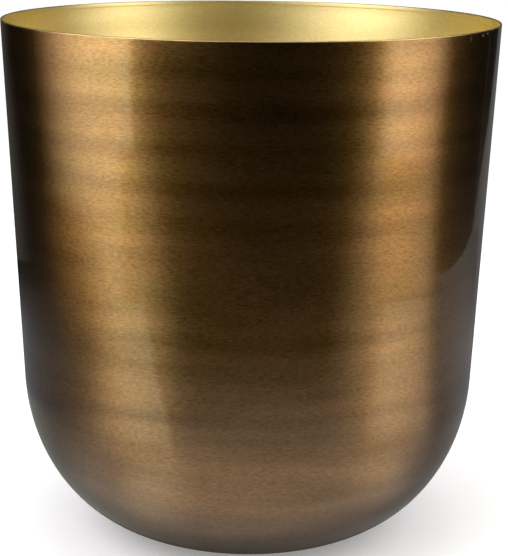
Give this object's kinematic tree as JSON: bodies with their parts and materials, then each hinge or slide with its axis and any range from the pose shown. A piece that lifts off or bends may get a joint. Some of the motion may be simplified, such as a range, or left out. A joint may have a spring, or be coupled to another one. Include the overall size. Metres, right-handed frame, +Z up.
{
  "type": "flower pot",
  "caption": "Round thin-walled metal flower pot with a slightly flared wall, a deep rounded bottom, a narrow rim lip and small pads under its base.",
  "frame": {"origin": "on the floor, under the middle of the pot: the plane of the pads' undersides, on the axis of the shell", "axes": "+Z up along the pot's axis of turning; X and Y lie halfway between neighbouring pads"},
  "size_m": [0.25, 0.25, 0.2663],
  "materials": {
    "bronze_metal": "brushed round the pot, antique bronze tone under clear lacquer outside, satin gold tone inside",
    "pad_rubber": "matt soft foam rubber"
  },
  "bodies": {
    "root": {"pot_shell": "bronze_metal", "foot_pad_1": "pad_rubber", "foot_pad_2": "pad_rubber", "foot_pad_3": "pad_rubber", "foot_pad_4": "pad_rubber"}
  },
  "joints": []
}
